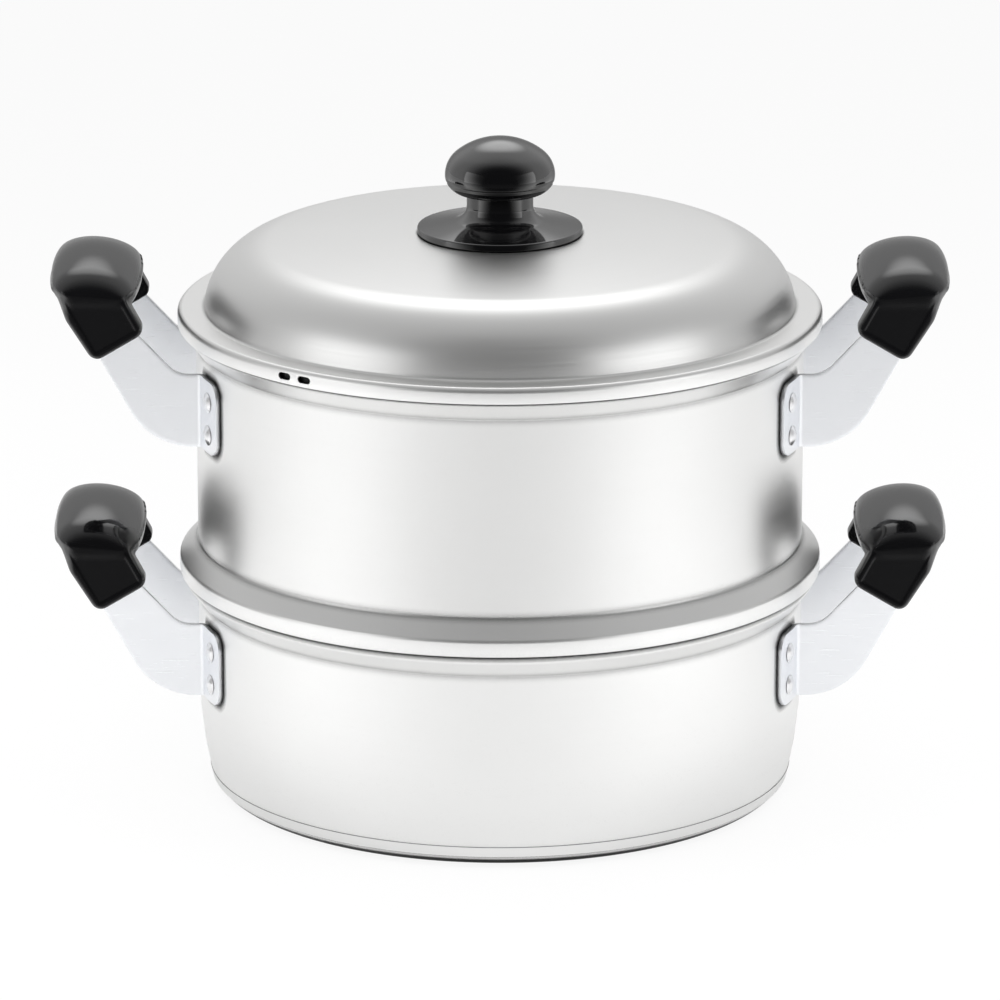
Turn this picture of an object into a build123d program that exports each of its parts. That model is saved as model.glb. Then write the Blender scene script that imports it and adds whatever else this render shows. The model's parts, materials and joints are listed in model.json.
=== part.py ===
from build123d import *
from math import asin, atan2, cos, degrees, radians, sin, sqrt
import os

# A two-tier aluminium steamer pot: a lower pan for the water, a steamer tier that sits on its
# rim, a perforated plate inside the tier and a domed lid with a knob.
# It stands on z = 0 with its axis along Z. The four handles lie along X and the front faces -Y.
# All sizes are in millimetres. Radii are those of the outer surface unless their name says inner.

# Sheet metal: the mouths and lips are measured out from the wall
SHEET = 0.8
VESSEL_R = 131.2
MOUTH_STEP = 5.9
MOUTH_CONE_H = 7.5
MOUTH_BAND_H = 5.9
CREASE_BEND_R = 2.0
MOUTH_BEND_R = 2.2
LIP_STEP = 2.0
SEAT_GAP = 0.3

# Lower pan
PAN_WALL_H = 58.4
PAN_FLANK_H = 28.6
PAN_FLANK_SET = 6.6
PAN_CORNER_BEND_R = 10.5
PAN_FLANK_BEND_R = 196.0

# Steamer tier
TIER_WALL_H = 86.3
TIER_FLARE_H = 7.8
TIER_LIP_H = 7.0
TIER_LIP_LAP = 2.8
TIER_FLARE_BEND_R = 2.0
TIER_EDGE_BEND_R = 2.4
SPIGOT_SET = 2.0
SPIGOT_DEPTH = 6.5
SPIGOT_BEND_R = 1.6
LEDGE_BEND_R = 2.4
LEDGE_W = 10.2

# Steam plate
PLATE_FIT = 3.6
PLATE_RIM_H = 4.0
PLATE_RIM_BEND_R = 2.0
PLATE_STEP_SET = 13.6
PLATE_STEP_H = 2.4
PLATE_STEP_RUN = 3.0
PLATE_STEP_BEND_R = 1.5
PLATE_HOLE_R = 3.2
PLATE_RING_PITCH = 17.5
PLATE_RINGS = 5
PLATE_HOLES_PER_RING = 6
PLATE_LIFT_HOLE_R = 9.0

# Lid
LID_LIP_H = 5.7
LID_FLANGE_W = 11.3
LID_DOME_H = 36.4
LID_CAP_R = 690.0
LID_SHOULDER_R = 31.0
LID_FLANK_LEAN_DEG = 7.0
LID_EDGE_BEND_R = 2.4
LID_FOOT_BEND_R = 1.6
LID_SCREW_HOLE_R = 2.7
STEAM_SLOT_LENGTH = 5.2
STEAM_SLOT_HEIGHT = 2.4
STEAM_SLOT_LIFT = 2.7
STEAM_SLOT_ANGLES_DEG = (-131.6, -127.3)

# Knob and what holds it
KNOB_SKIRT_R = 35.6
KNOB_SKIRT_EDGE_H = 3.0
KNOB_SKIRT_GAP = 0.15
KNOB_SKIRT_RISE = 3.4
KNOB_SKIRT_FLAT_R = 21.0
KNOB_NECK_R = 14.3
KNOB_FLARE_R = 5.0
KNOB_CAP_R = 23.7
KNOB_CAP_LIFT = 22.1
KNOB_CAP_RISE = 16.4
KNOB_CAP_SIDE_R = 12.5
KNOB_CAP_DROP = 7.8
KNOB_RIM_WIDTH = 3.2
KNOB_RECESS_H = 2.6
KNOB_BOSS_R = 9.0
KNOB_EDGE_R = 1.2
INSERT_R = 4.2
INSERT_GROOVE_R = 3.6
INSERT_H = 13.0
INSERT_GROOVE_H = 3.0
SCREW_R = 2.5
SCREW_HEAD_R = 5.0
SCREW_HEAD_H = 3.0
SCREW_BEND_R = 1.2
SCREW_ENTRY = 10.0
SCREW_SLOT_W = 1.4
SCREW_SLOT_H = 1.3
WASHER_R = 7.5
WASHER_T = 1.0
THREAD_GAP = 0.05

# Handle brackets: their heights are measured from the top edge of the tabs on the wall
TAB_BELOW_CREASE = 6.3
STRAP_T = 2.0
STRAP_MID_Y = 35.0
STRAP_BEND_R = 3.0
TAB_H = 32.0
TAB_REACH = 20.0
TAB_CORNER_R = 7.0
TAB_FIT = 0.05
ARM_TOP_OUT = 7.2
ARM_TOP_BEND_R = 12.0
ARM_FOOT_OUT = 11.4
ARM_FOOT_BEND_R = 27.0
ARM_KNEE_OUT = 29.8
ARM_KNEE_Z = 12.2
ARM_KNEE_W = 16.8
ARM_END_W = 14.0
ARM_RUN = 21.0
GRIP_LEAN_DEG = 60.0

# Rivets
RIVET_REACH = 10.7
RIVET_Z = (-9.6, -24.0)
RIVET_SHANK_R = 2.4
RIVET_HEAD_R = 4.4
RIVET_HEAD_H = 1.5
RIVET_TAIL_R = 4.0
RIVET_TAIL_H = 1.0
RIVET_FIT = 0.05
RIVET_SEAT = 0.08

# Grips, measured outwards and upwards from the knee where the arm enters them
GRIP_HALF_L = 40.0
GRIP_LEG_T = 10.0
BAR_OUT = 12.4
BAR_UP = 20.8
BAR_HALF_W = 19.2
BAR_RISE = 13.2
BAR_DROP = 8.5
BAR_END_R = 13.0
BAR_BARREL_SHARE = 0.13
BAR_END_WIDTH_SHARE = 0.46
BAR_MIDDLE_SHARES = (-0.85, -0.4, 0.0, 0.4, 0.85)
LEG_OUTER_TOP = (27.8, 22.8)
LEG_OUTER_FOOT = (11.6, -5.9)
LEG_INNER_FOOT = (-10.8, 7.2)
LEG_INNER_TOP = (-1.6, 22.8)
LEG_TOP_RISE = 2.0
LEG_CORNER_R = 4.0
LEG_EDGE_R = 1.8
GRIP_SCREW_R = 2.0
GRIP_SCREW_HEAD_R = 4.0
GRIP_SCREW_HEAD_H = 2.2
GRIP_SCREW_ENTRY = 9.0
GRIP_SCREW_SINK_R = 5.0

# One overrun for all cutting tools
OVERRUN = 5.0

# Radii that follow from the wall's
MOUTH_R = VESSEL_R + MOUTH_STEP
LIP_R = MOUTH_R + LIP_STEP
SPIGOT_INNER_R = VESSEL_R - SPIGOT_SET
LEDGE_INNER_R = SPIGOT_INNER_R - LEDGE_W
PLATE_R = SPIGOT_INNER_R - PLATE_FIT
PLATE_STEP_R = PLATE_R - PLATE_STEP_SET
LID_DOME_FOOT_R = LIP_R - LID_FLANGE_W
TAB_END_DEG = degrees(asin((STRAP_MID_Y + TAB_REACH) / VESSEL_R))
RIVET_DEG = degrees(asin((STRAP_MID_Y + RIVET_REACH) / VESSEL_R))
ARM_KNEE_X = VESSEL_R + ARM_KNEE_OUT
BAR_MID_X = ARM_KNEE_X + BAR_OUT

# Heights that follow from one another, from the floor up
PAN_CREASE_Z = PAN_FLANK_H + PAN_WALL_H
PAN_MOUTH_Z = PAN_CREASE_Z + MOUTH_CONE_H + MOUTH_BAND_H
SHELF_Z = PAN_MOUTH_Z + SEAT_GAP
LEDGE_Z = SHELF_Z - SPIGOT_DEPTH
PLATE_Z = LEDGE_Z + SEAT_GAP
TIER_LIP_FOOT_Z = PAN_MOUTH_Z - TIER_LIP_LAP
TIER_FLARE_EDGE_Z = TIER_LIP_FOOT_Z + TIER_LIP_H
TIER_FLARE_TOP_Z = TIER_FLARE_EDGE_Z + TIER_FLARE_H
TIER_CREASE_Z = TIER_FLARE_TOP_Z + TIER_WALL_H
TIER_MOUTH_Z = TIER_CREASE_Z + MOUTH_CONE_H + MOUTH_BAND_H
LID_FLANGE_TOP_Z = TIER_MOUTH_Z + SEAT_GAP + SHEET
LID_FOOT_Z = LID_FLANGE_TOP_Z - LID_LIP_H
LID_DOME_TOP_Z = LID_FLANGE_TOP_Z + LID_DOME_H
KNOB_CAP_MID_Z = LID_DOME_TOP_Z + KNOB_CAP_LIFT
BAR_MID_Z = ARM_KNEE_Z + BAR_UP


def turned(face):
    """Turn a face drawn as (radius, height) round the pot's axis."""
    return revolve(Plane.XZ * face, Axis.Z)


def sheet_section(path, thickness, side):
    """Give an open path the thickness of the metal."""
    return make_face(Wire(path.edges()).offset_2d(thickness, Kind.INTERSECTION, side, True).edges())


def sheet_turned(path, side=Side.LEFT):
    """Turn a formed sheet whose outer surface follows the path."""
    return turned(sheet_section(path, SHEET, side))


def ring_of(shape, count, start_deg=0):
    """Copy a shape evenly round the pot's axis."""
    return [Rot(0, 0, start_deg + 360 * index / count) * shape for index in range(count)]


def rivet_holes(crease_z):
    """Drills through the wall of one vessel for the rivets of both its handles."""
    lift = Pos(0, 0, crease_z - TAB_BELOW_CREASE)
    return [Rot(0, 0, side) * lift * place * rivet_hole()
            for side in (0, 180) for place in rivet_places()]


# Shells

def make_pan_shell():
    """The lower pan: flat base, easy corner, near straight wall and a stepped mouth."""
    outline = FilletPolyline(
        (0, 0),
        (VESSEL_R - PAN_FLANK_SET, 0),
        (VESSEL_R, PAN_FLANK_H),
        (VESSEL_R, PAN_CREASE_Z),
        (MOUTH_R, PAN_CREASE_Z + MOUTH_CONE_H),
        (MOUTH_R, PAN_MOUTH_Z),
        radius=[PAN_CORNER_BEND_R, PAN_FLANK_BEND_R, CREASE_BEND_R, MOUTH_BEND_R],
    )
    return sheet_turned(outline) - rivet_holes(PAN_CREASE_Z)


def make_tier_shell():
    """The tier: stepped mouth, wall, a skirt over the pan's mouth, and a folded shelf and ledge."""
    outer = FilletPolyline(
        (MOUTH_R, TIER_MOUTH_Z),
        (MOUTH_R, TIER_CREASE_Z + MOUTH_CONE_H),
        (VESSEL_R, TIER_CREASE_Z),
        (VESSEL_R, TIER_FLARE_TOP_Z),
        (LIP_R, TIER_FLARE_EDGE_Z),
        (LIP_R, TIER_LIP_FOOT_Z),
        radius=[MOUTH_BEND_R, CREASE_BEND_R, TIER_FLARE_BEND_R, TIER_EDGE_BEND_R],
    )
    fold = FilletPolyline(
        (LIP_R - SHEET, TIER_LIP_FOOT_Z),
        (LIP_R - SHEET, SHELF_Z + SHEET),
        (SPIGOT_INNER_R, SHELF_Z + SHEET),
        (SPIGOT_INNER_R, LEDGE_Z),
        (LEDGE_INNER_R, LEDGE_Z),
        radius=[SPIGOT_BEND_R, SPIGOT_BEND_R, LEDGE_BEND_R],
    )
    section = sheet_section(outer, SHEET, Side.RIGHT) + sheet_section(fold, SHEET, Side.LEFT)
    return turned(section) - rivet_holes(TIER_CREASE_Z)


def make_steam_plate():
    """The perforated plate: upturned rim, a shallow step and rings of steam holes."""
    floor_z = PLATE_Z + PLATE_STEP_H
    outline = FilletPolyline(
        (0, floor_z),
        (PLATE_STEP_R - PLATE_STEP_RUN, floor_z),
        (PLATE_STEP_R, PLATE_Z),
        (PLATE_R, PLATE_Z),
        (PLATE_R, PLATE_Z + PLATE_RIM_H),
        radius=[PLATE_STEP_BEND_R, PLATE_STEP_BEND_R, PLATE_RIM_BEND_R],
    )
    plate = sheet_turned(outline)
    hole = Cylinder(PLATE_HOLE_R, OVERRUN)
    holes = []
    for ring in range(1, PLATE_RINGS + 1):
        drill = Pos(PLATE_LIFT_HOLE_R + ring * PLATE_RING_PITCH, 0, floor_z) * hole
        holes += ring_of(drill, ring * PLATE_HOLES_PER_RING)
    return plate - holes - Pos(0, 0, floor_z) * Cylinder(PLATE_LIFT_HOLE_R, OVERRUN)


def dome_arcs():
    """Ends and middles of the lid's shoulder arc and top arc, worked out from their radii."""
    lean = radians(LID_FLANK_LEAN_DEG)
    inward = Vector(-cos(lean), -sin(lean))
    upward = Vector(-sin(lean), cos(lean))
    cap_centre = Vector(0, LID_DOME_TOP_Z - LID_CAP_R)
    start = Vector(LID_DOME_FOOT_R, LID_FLANGE_TOP_Z) + inward * LID_SHOULDER_R
    offset_start = start - cap_centre
    along = offset_start.dot(upward)
    reach = LID_CAP_R - LID_SHOULDER_R
    climb = sqrt(along ** 2 - offset_start.dot(offset_start) + reach ** 2) - along
    centre = start + upward * climb
    outward = (centre - cap_centre).normalized()
    flank_end = centre - inward * LID_SHOULDER_R
    meeting = centre + outward * LID_SHOULDER_R
    middle = centre + (outward - inward).normalized() * LID_SHOULDER_R
    top = Vector(0, LID_DOME_TOP_Z)
    half = (outward + Vector(0, 1)).normalized()
    return flank_end, middle, meeting, cap_centre + half * LID_CAP_R, top


def make_lid_shell():
    """The lid: a lip over the tier's mouth, a flat flange and a dome with a round shoulder."""
    flank_end, shoulder_middle, meeting, cap_middle, top = dome_arcs()
    edge = FilletPolyline(
        (LIP_R, LID_FOOT_Z),
        (LIP_R, LID_FLANGE_TOP_Z),
        (LID_DOME_FOOT_R, LID_FLANGE_TOP_Z),
        flank_end,
        radius=[LID_EDGE_BEND_R, LID_FOOT_BEND_R],
    )
    outline = edge + ThreePointArc(flank_end, shoulder_middle, meeting)
    outline += ThreePointArc(meeting, cap_middle, top)
    lid = sheet_turned(outline)
    slot = extrude(SlotOverall(STEAM_SLOT_LENGTH, STEAM_SLOT_HEIGHT), OVERRUN, both=True)
    slot = Pos(LIP_R, 0, LID_FOOT_Z + STEAM_SLOT_LIFT) * Rot(0, 90, 0) * Rot(0, 0, 90) * slot
    slots = [Rot(0, 0, angle) * slot for angle in STEAM_SLOT_ANGLES_DEG]
    return lid - slots - Pos(0, 0, LID_DOME_TOP_Z) * Cylinder(LID_SCREW_HOLE_R, 2 * OVERRUN)


# Knob

def dome_height(radius):
    """Height of the lid's top surface at a radius near its middle."""
    return LID_DOME_TOP_Z - LID_CAP_R + sqrt(LID_CAP_R ** 2 - radius ** 2)


def crown_arcs():
    """The cap's upper side: a small side arc that runs smoothly into a large top arc."""
    side_x = KNOB_CAP_R - KNOB_CAP_SIDE_R
    top_r = (side_x ** 2 + KNOB_CAP_RISE ** 2 - KNOB_CAP_SIDE_R ** 2) / (
        2 * (KNOB_CAP_RISE - KNOB_CAP_SIDE_R))
    side_centre = Vector(side_x, KNOB_CAP_MID_Z)
    top = Vector(0, KNOB_CAP_MID_Z + KNOB_CAP_RISE)
    top_centre = top - Vector(0, top_r)
    outward = (side_centre - top_centre).normalized()
    meeting = side_centre + outward * KNOB_CAP_SIDE_R
    side_middle = side_centre + (outward + Vector(1, 0)).normalized() * KNOB_CAP_SIDE_R
    top_middle = top_centre + (outward + Vector(0, 1)).normalized() * top_r
    side = ThreePointArc((KNOB_CAP_R, KNOB_CAP_MID_Z), side_middle, meeting)
    return side + ThreePointArc(meeting, top_middle, top)


def make_knob():
    """A moulded knob: hollow skirt, waisted neck and a mushroom cap."""
    foot = dome_height(KNOB_SKIRT_R) + KNOB_SKIRT_GAP
    edge_top = foot + KNOB_SKIRT_EDGE_H
    slope_top = edge_top + KNOB_SKIRT_RISE
    cap_under = KNOB_CAP_MID_Z - KNOB_CAP_DROP
    cap_top = KNOB_CAP_MID_Z + KNOB_CAP_RISE
    lower = FilletPolyline(
        (KNOB_BOSS_R, foot + KNOB_RECESS_H),
        (KNOB_SKIRT_R - KNOB_RIM_WIDTH, foot + KNOB_RECESS_H),
        (KNOB_SKIRT_R - KNOB_RIM_WIDTH, foot),
        (KNOB_SKIRT_R, foot),
        (KNOB_SKIRT_R, edge_top),
        (KNOB_SKIRT_FLAT_R, slope_top),
        (KNOB_NECK_R, slope_top + KNOB_FLARE_R),
        (KNOB_NECK_R, cap_under),
        radius=[KNOB_EDGE_R, KNOB_EDGE_R / 2, KNOB_EDGE_R / 2, KNOB_EDGE_R, KNOB_FLARE_R,
                KNOB_FLARE_R],
    )
    under = Line((KNOB_NECK_R, cap_under), (KNOB_CAP_R - KNOB_CAP_DROP, cap_under))
    bulge = sqrt(2) / 2
    belly = ThreePointArc(
        (KNOB_CAP_R - KNOB_CAP_DROP, cap_under),
        (KNOB_CAP_R - KNOB_CAP_DROP + KNOB_CAP_DROP * bulge,
         KNOB_CAP_MID_Z - KNOB_CAP_DROP * bulge),
        (KNOB_CAP_R, KNOB_CAP_MID_Z),
    )
    crown = crown_arcs()
    boss_foot = LID_DOME_TOP_Z + KNOB_SKIRT_GAP
    close = Polyline((0, cap_top), (0, boss_foot), (KNOB_BOSS_R, boss_foot),
                     (KNOB_BOSS_R, foot + KNOB_RECESS_H))
    outline = lower + under + belly + crown + close
    return turned(make_face(outline.edges())) - insert_body(THREAD_GAP) - screw_bore()


def insert_body(grow=0):
    """The threaded insert's outside, waisted so that the moulding grips it."""
    foot = LID_DOME_TOP_Z + KNOB_SKIRT_GAP
    side = (INSERT_H - INSERT_GROOVE_H) / 2
    collar = Cylinder(INSERT_R + grow, side, align=(Align.CENTER, Align.CENTER, Align.MIN))
    waist = Cylinder(INSERT_GROOVE_R + grow, INSERT_H,
                     align=(Align.CENTER, Align.CENTER, Align.MIN))
    return Pos(0, 0, foot) * (collar + waist + Pos(0, 0, side + INSERT_GROOVE_H) * collar)


def screw_bore():
    """Room for the screw's end above the insert."""
    foot = LID_DOME_TOP_Z + KNOB_SKIRT_GAP
    return Pos(0, 0, foot) * Cylinder(SCREW_R + THREAD_GAP, INSERT_H + OVERRUN,
                                      align=(Align.CENTER, Align.CENTER, Align.MIN))


def make_knob_insert():
    """The metal insert in the knob, bored for the screw."""
    return insert_body() - screw_bore()


def pan_head_screw(shank_r, shank_h, head_r, head_h):
    """A slotted screw pointing up, with the underside of its head at z = 0."""
    low = (Align.CENTER, Align.CENTER, Align.MIN)
    head = Pos(0, 0, -head_h) * Cylinder(head_r, head_h, align=low)
    head = fillet(head.edges().sort_by(Axis.Z)[0], min(SCREW_BEND_R, head_h / 2))
    slot = Pos(0, 0, -head_h) * Box(2 * head_r + OVERRUN, SCREW_SLOT_W, 2 * SCREW_SLOT_H)
    shank = Cylinder(shank_r, shank_h, align=low)
    return head - slot + shank


def make_knob_screw():
    """The screw that comes up through the lid into the knob."""
    seat = dome_height(WASHER_R) - SHEET - WASHER_T
    reach = SHEET + WASHER_T + KNOB_SKIRT_GAP + SCREW_ENTRY
    return Pos(0, 0, seat) * pan_head_screw(SCREW_R, reach, SCREW_HEAD_R, SCREW_HEAD_H)


def make_knob_washer():
    """The washer under the lid."""
    top = Align.MAX
    disc = Cylinder(WASHER_R, WASHER_T, align=(Align.CENTER, Align.CENTER, top))
    hole = Cylinder(SCREW_R + THREAD_GAP, 4 * WASHER_T)
    low = dome_height(WASHER_R) - SHEET
    return Pos(0, 0, low) * (disc - hole)


# Handles: each is made on the +X side with z = 0 at the top edge of its tabs

def lean_point(run, across=0):
    """A point of the grip's leaning frame, from the knee where the arm enters the grip."""
    lean = radians(GRIP_LEAN_DEG)
    return (ARM_KNEE_X + run * cos(lean) - across * sin(lean),
            ARM_KNEE_Z + run * sin(lean) + across * cos(lean))


def lean_frame(run):
    """A place in the middle of the grip with its Z axis along the leaning legs."""
    x, z = lean_point(run)
    return Pos(x, 0, z) * Rot(0, 90 - GRIP_LEAN_DEG, 0)


def strap_plan():
    """Half of the bracket seen from above: an arm that bends out onto the wall as a tab."""
    seat_r = VESSEL_R + TAB_FIT
    end = radians(TAB_END_DEG)
    inner_y = STRAP_MID_Y - STRAP_T / 2
    outer_y = STRAP_MID_Y + STRAP_T / 2
    outer_r = seat_r + STRAP_T
    far_x = lean_point(0, -ARM_KNEE_W / 2)[0]
    heel_x = sqrt(seat_r ** 2 - inner_y ** 2)
    crook_x = sqrt(outer_r ** 2 - outer_y ** 2)
    middle = (atan2(outer_y, crook_x) + end) / 2
    outline = Polyline((crook_x, outer_y), (far_x, outer_y), (far_x, inner_y), (heel_x, inner_y))
    outline += ThreePointArc(
        (heel_x, inner_y),
        (seat_r * cos(middle), seat_r * sin(middle)),
        (seat_r * cos(end), seat_r * sin(end)),
    )
    outline += Line((seat_r * cos(end), seat_r * sin(end)),
                    (outer_r * cos(end), outer_r * sin(end)))
    outline += ThreePointArc(
        (outer_r * cos(end), outer_r * sin(end)),
        (outer_r * cos(middle), outer_r * sin(middle)),
        (crook_x, outer_y),
    )
    plan = make_face(outline.edges())
    heel = plan.vertices().sort_by_distance((heel_x, inner_y, 0))[0]
    plan = fillet(heel, STRAP_BEND_R)
    crook = plan.vertices().sort_by_distance((crook_x, outer_y, 0))[0]
    return fillet(crook, STRAP_BEND_R - STRAP_T / 2)


def strap_side():
    """The bracket seen from the side: full tab height at the wall, narrowing into the grip."""
    outline = FilletPolyline(
        lean_point(0, ARM_KNEE_W / 2),
        (VESSEL_R + ARM_TOP_OUT, 0),
        (VESSEL_R / 2, 0),
        (VESSEL_R / 2, -TAB_H),
        (VESSEL_R + ARM_FOOT_OUT, -TAB_H),
        lean_point(0, -ARM_KNEE_W / 2),
        radius=[ARM_TOP_BEND_R, STRAP_BEND_R, STRAP_BEND_R, ARM_FOOT_BEND_R],
    )
    return make_face((outline + Line(outline @ 1, outline @ 0)).edges())


def strap_loop():
    """The strap's other half inside the grip: short arms and a web, bent as a U."""
    half = STRAP_MID_Y + STRAP_T / 2
    outer = Pos(ARM_RUN / 2, 0) * Rectangle(ARM_RUN, 2 * half)
    inner = Pos((ARM_RUN - STRAP_T) / 2, 0) * Rectangle(ARM_RUN - STRAP_T, 2 * (half - STRAP_T))
    outer = fillet(outer.vertices().group_by(Axis.X)[-1], STRAP_BEND_R + STRAP_T)
    inner = fillet(inner.vertices().group_by(Axis.X)[-1], STRAP_BEND_R)
    loop = extrude(outer - inner, ARM_KNEE_W / 2, both=True)
    taper = Polyline(
        (0, ARM_KNEE_W / 2), (ARM_RUN / 2, ARM_END_W / 2), (ARM_RUN, ARM_END_W / 2),
        (ARM_RUN, -ARM_END_W / 2), (ARM_RUN / 2, -ARM_END_W / 2), (0, -ARM_KNEE_W / 2),
        close=True,
    )
    loop &= extrude(Plane.XZ * make_face(taper.edges()), half, both=True)
    hole = Pos(ARM_RUN, 0, 0) * Rot(0, 90, 0) * Cylinder(GRIP_SCREW_R + THREAD_GAP, OVERRUN)
    return Pos(ARM_KNEE_X, 0, ARM_KNEE_Z) * Rot(0, -GRIP_LEAN_DEG, 0) * (loop - hole)


def make_bracket():
    """One strap: tabs on the wall, two cranked arms and a web across inside the grip."""
    plan = strap_plan()
    high = ARM_KNEE_Z + ARM_KNEE_W
    arms = extrude(Pos(0, 0, -TAB_H) * (plan + mirror(plan, Plane.XZ)), TAB_H + high)
    arms &= extrude(Plane.XZ * strap_side(), VESSEL_R, both=True)
    tab_ends = [edge for edge in arms.edges()
                if edge.length < STRAP_T + TAB_FIT
                and abs(abs(degrees(atan2(edge.center().Y, edge.center().X))) - TAB_END_DEG) < 1
                and abs((edge % 0).Z) < TAB_FIT]
    arms = fillet(tab_ends, TAB_CORNER_R)
    return arms + strap_loop() - [place * rivet_hole() for place in rivet_places()]


def rivet_places():
    """Where one handle's four rivets stand, with X pointing out of the wall."""
    return [Rot(0, 0, sign * RIVET_DEG) * Pos(VESSEL_R - SHEET, 0, height)
            for sign in (-1, 1) for height in RIVET_Z]


def rivet_hole():
    """The hole for a rivet's shank."""
    return Rot(0, 90, 0) * Cylinder(RIVET_SHANK_R + RIVET_FIT, 4 * OVERRUN)


def make_rivets():
    """One handle's rivets: a low domed head, a shank and a flat tail inside the wall."""
    grip = SHEET + TAB_FIT + STRAP_T + RIVET_SEAT
    low = (Align.CENTER, Align.CENTER, Align.MIN)
    dome_r = (RIVET_HEAD_R ** 2 + RIVET_HEAD_H ** 2) / (2 * RIVET_HEAD_H)
    head = Pos(0, 0, grip + RIVET_HEAD_H - dome_r) * Sphere(dome_r)
    head &= Pos(0, 0, grip) * Cylinder(RIVET_HEAD_R, RIVET_HEAD_H, align=low)
    shank = Pos(0, 0, -RIVET_SEAT) * Cylinder(RIVET_SHANK_R, grip + RIVET_SEAT, align=low)
    tail = Pos(0, 0, -RIVET_SEAT - RIVET_TAIL_H) * Cylinder(RIVET_TAIL_R, RIVET_TAIL_H, align=low)
    tail = chamfer(tail.edges().sort_by(Axis.Z)[0], RIVET_TAIL_H / 2)
    rivet = Rot(0, 90, 0) * (head + shank + tail)
    return Compound(children=[place * rivet for place in rivet_places()])


def bar_section(shrink, y):
    """The barrelled grip bar cut across: a higher half ellipse over a flatter one."""
    fullness = 1 - BAR_BARREL_SHARE * (y / GRIP_HALF_L) ** 2
    half_w = (BAR_HALF_W - shrink * BAR_END_WIDTH_SHARE) * fullness
    rise = (BAR_RISE - shrink) * fullness
    drop = BAR_DROP * rise / BAR_RISE
    upper = EllipticalCenterArc((0, 0), half_w, rise, arc_size=180)
    lower = EllipticalCenterArc((0, 0), half_w, drop, 180, arc_size=180)
    plane = Plane((BAR_MID_X, y, BAR_MID_Z), x_dir=(1, 0, 0), z_dir=(0, -1, 0))
    return plane * make_face([upper.edge(), lower.edge()])


def grip_bar():
    """The bar that the hand holds, with ends rounded like a bar of soap."""
    straight = GRIP_HALF_L - BAR_END_R
    turns = [radians(angle) for angle in (84, 66, 45, 24, 0)]
    ends = [(BAR_END_R * (1 - cos(turn)), straight + BAR_END_R * sin(turn)) for turn in turns]
    sections = [bar_section(shrink, -y) for shrink, y in ends]
    sections += [bar_section(0, straight * share) for share in BAR_MIDDLE_SHARES]
    sections += [bar_section(shrink, y) for shrink, y in reversed(ends)]
    return loft(sections)


def from_knee(out_up):
    """A point measured outwards and upwards from the knee."""
    return ARM_KNEE_X + out_up[0], ARM_KNEE_Z + out_up[1]


def grip_leg():
    """The front leg's solid: a slanting slab that covers the arm, softened all round."""
    outer_top, outer_foot = from_knee(LEG_OUTER_TOP), from_knee(LEG_OUTER_FOOT)
    inner_top, inner_foot = from_knee(LEG_INNER_TOP), from_knee(LEG_INNER_FOOT)
    middle = ((outer_top[0] + inner_top[0]) / 2, outer_top[1] + LEG_TOP_RISE)
    sides = FilletPolyline(outer_top, outer_foot, inner_foot, inner_top,
                           radius=[LEG_CORNER_R, LEG_CORNER_R])
    outline = sides + ThreePointArc(inner_top, middle, outer_top)
    slab = extrude(Plane.XZ * make_face(outline.edges()), GRIP_LEG_T)
    slab = Pos(0, GRIP_LEG_T - GRIP_HALF_L, 0) * slab
    return fillet(slab.edges().group_by(Axis.Y)[0] + slab.edges().group_by(Axis.Y)[-1], LEG_EDGE_R)


def make_grip():
    """The moulded grip: bar and two legs, slotted for the strap and sunk for its screw."""
    leg = grip_leg()
    grip = grip_bar() + leg + mirror(leg, Plane.XZ)
    sink = Cylinder(GRIP_SCREW_SINK_R, BAR_DROP + OVERRUN,
                    align=(Align.CENTER, Align.CENTER, Align.MAX))
    bore = Cylinder(GRIP_SCREW_R + THREAD_GAP, GRIP_SCREW_ENTRY + OVERRUN / 5,
                    align=(Align.CENTER, Align.CENTER, Align.MIN))
    return grip - make_bracket() - lean_frame(ARM_RUN - STRAP_T / 2) * (sink + bore)


def make_grip_screw():
    """The screw that holds the grip to the strap's web, driven from the finger gap."""
    screw = pan_head_screw(GRIP_SCREW_R, STRAP_T + GRIP_SCREW_ENTRY - OVERRUN / 2,
                           GRIP_SCREW_HEAD_R, GRIP_SCREW_HEAD_H)
    return lean_frame(ARM_RUN - STRAP_T) * screw


def handle_parts():
    """The four pieces of one handle, on the +X side."""
    return {
        "bracket": make_bracket(),
        "grip": make_grip(),
        "rivets": make_rivets(),
        "grip_screw": make_grip_screw(),
    }


def all_parts():
    """Every piece of the pot in its place, by name."""
    parts = {
        "pan_shell": make_pan_shell(),
        "tier_shell": make_tier_shell(),
        "steam_plate": make_steam_plate(),
        "lid_shell": make_lid_shell(),
        "lid_knob": make_knob(),
        "knob_insert": make_knob_insert(),
        "knob_screw": make_knob_screw(),
        "knob_washer": make_knob_washer(),
    }
    for name, piece in handle_parts().items():
        for vessel, crease_z in (("pan", PAN_CREASE_Z), ("tier", TIER_CREASE_Z)):
            placed = Pos(0, 0, crease_z - TAB_BELOW_CREASE) * piece
            parts[f"{vessel}_right_{name}"] = placed
            parts[f"{vessel}_left_{name}"] = Rot(0, 0, 180) * placed
    return parts


if __name__ == "__main__":
    os.makedirs("parts", exist_ok=True)
    for node, solid in all_parts().items():
        export_step(solid, f"parts/{node}.step")
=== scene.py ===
import json
from math import asin, atan2, cos, pi, radians, sin, sqrt, tan

import bmesh
import bpy
from bpy.props import FloatProperty, FloatVectorProperty, PointerProperty
from mathutils import Matrix, Vector


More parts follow.
